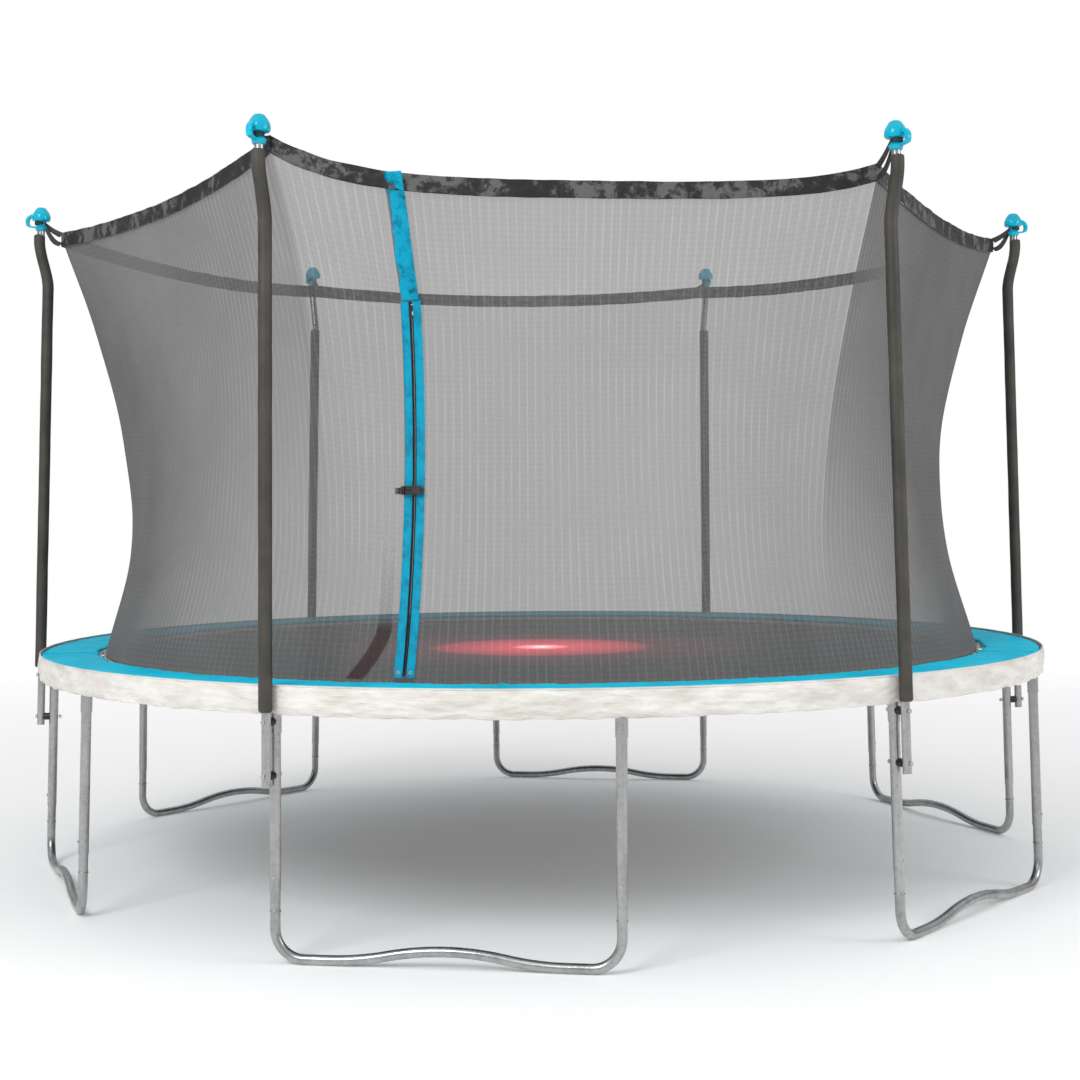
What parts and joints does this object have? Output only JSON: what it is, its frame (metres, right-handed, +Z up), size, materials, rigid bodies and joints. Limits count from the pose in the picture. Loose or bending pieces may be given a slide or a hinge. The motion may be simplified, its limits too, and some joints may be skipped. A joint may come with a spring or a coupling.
{
  "type": "trampoline",
  "caption": "Round garden trampoline on U-shaped legs, with a padded rim, a sprung woven mat and a waisted net enclosure on foam-sleeved poles with a zipped doorway.",
  "frame": {"origin": "centre of the round frame at ground level", "axes": "+Z up; the doorway faces -Y; +X is to the right of a person facing the doorway"},
  "size_m": [4.4358, 4.3112, 2.8303],
  "materials": {
    "galvanised_steel": "satin",
    "zinc_hardware": "satin",
    "sleeve_foam": "matte",
    "cap_plastic": "gloss",
    "black_plastic": "matte",
    "net_mesh": "matte",
    "black_webbing": "matte",
    "blue_fabric": "satin",
    "pad_vinyl": "satin",
    "skirt_fabric": "satin",
    "pad_foam": "matte",
    "mat_weave": "matte",
    "cord": "matte",
    "zip_metal": "satin",
    "red_lens": "gloss",
    "circuit_board": "matte",
    "battery_metal": "satin"
  },
  "bodies": {
    "frame": {"buckle_socket": "black_plastic", "buckle_strap_left": "black_webbing", "door_header": "blue_fabric", "door_tie_left": "cord", "door_trim_left": "blue_fabric", "enclosure_net": "net_mesh", "leg_base_1": "galvanised_steel", "leg_base_2": "galvanised_steel", "leg_base_3": "galvanised_steel", "leg_base_4": "galvanised_steel", "leg_base_5": "galvanised_steel", "leg_base_6": "galvanised_steel", "leg_screws": "zinc_hardware", "leg_tubes": "galvanised_steel", "net_hem_cord": "cord", "net_straps": "black_webbing", "net_top_band": "black_webbing", "pad_cover": "pad_vinyl", "pad_foam": "pad_foam", "pad_skirt": "skirt_fabric", "pole_bolts": "zinc_hardware", "pole_cap_1": "cap_plastic", "pole_cap_2": "cap_plastic", "pole_cap_3": "cap_plastic", "pole_cap_4": "cap_plastic", "pole_cap_5": "cap_plastic", "pole_cap_6": "cap_plastic", "pole_lower_tubes": "galvanised_steel", "pole_nuts": "zinc_hardware", "pole_sleeves": "sleeve_foam", "pole_spacers": "black_plastic", "pole_upper_1": "galvanised_steel", "pole_upper_2": "galvanised_steel", "pole_upper_3": "galvanised_steel", "pole_upper_4": "galvanised_steel", "pole_upper_5": "galvanised_steel", "pole_upper_6": "galvanised_steel", "skirt_elastic": "cord", "springs": "zinc_hardware", "top_rails": "galvanised_steel", "zip_coil_left": "black_webbing"},
    "jump_bed": {"jump_mat": "mat_weave", "mat_hem": "black_webbing", "v_rings": "zinc_hardware", "light_housing": "black_plastic", "light_lens": "red_lens", "light_board": "circuit_board", "light_batteries": "battery_metal", "light_battery_cover": "black_plastic", "light_straps": "black_webbing"},
    "light_button": {"light_button": "black_plastic"},
    "door_flap": {"door_flap_net": "net_mesh", "door_trim_right": "blue_fabric", "zip_coil_right": "black_webbing", "buckle_strap_right": "black_webbing", "door_tie_right": "cord"},
    "buckle_plug": {"buckle_plug": "black_plastic"},
    "zip_slider": {"zip_slider": "zip_metal"},
    "zip_pull": {"zip_pull": "zip_metal"}
  },
  "joints": [
    {"name": "bed_bounce", "type": "slide", "parent": "frame", "child": "jump_bed", "axis": [0, 0, 1], "range_m": [-0.3, 0], "stiffness_N_per_m": 4000, "springref_m": 0.03, "deforming": ["springs"]},
    {"name": "light_button_press", "type": "slide", "parent": "jump_bed", "child": "light_button", "axis": [0, 0, 1], "range_m": [0, 0.0015], "stiffness_N_per_m": 600, "springref_m": -0.001},
    {"name": "door_fold", "type": "hinge", "parent": "frame", "child": "door_flap", "pos_m": [0.4492, -1.82315, 0.93027], "axis": [-0.617, 0.0869, 0.7822], "range_deg": [0, 80]},
    {"name": "buckle_release", "type": "slide", "parent": "door_flap", "child": "buckle_plug", "axis": [0.9426, -0.3338, 0], "range_m": [0, 0.034]},
    {"name": "zip_slide", "type": "hinge", "parent": "frame", "child": "zip_slider", "pos_m": [-1.49579, -4.22398, 1.8], "axis": [-0.9426, 0.3338, 0], "range_deg": [0, 26]},
    {"name": "zip_pull_swing", "type": "hinge", "parent": "zip_slider", "child": "zip_pull", "pos_m": [-0.59123, -1.66958, 2.21353], "axis": [-0.9426, 0.3338, 0], "range_deg": [0, 150]}
  ]
}
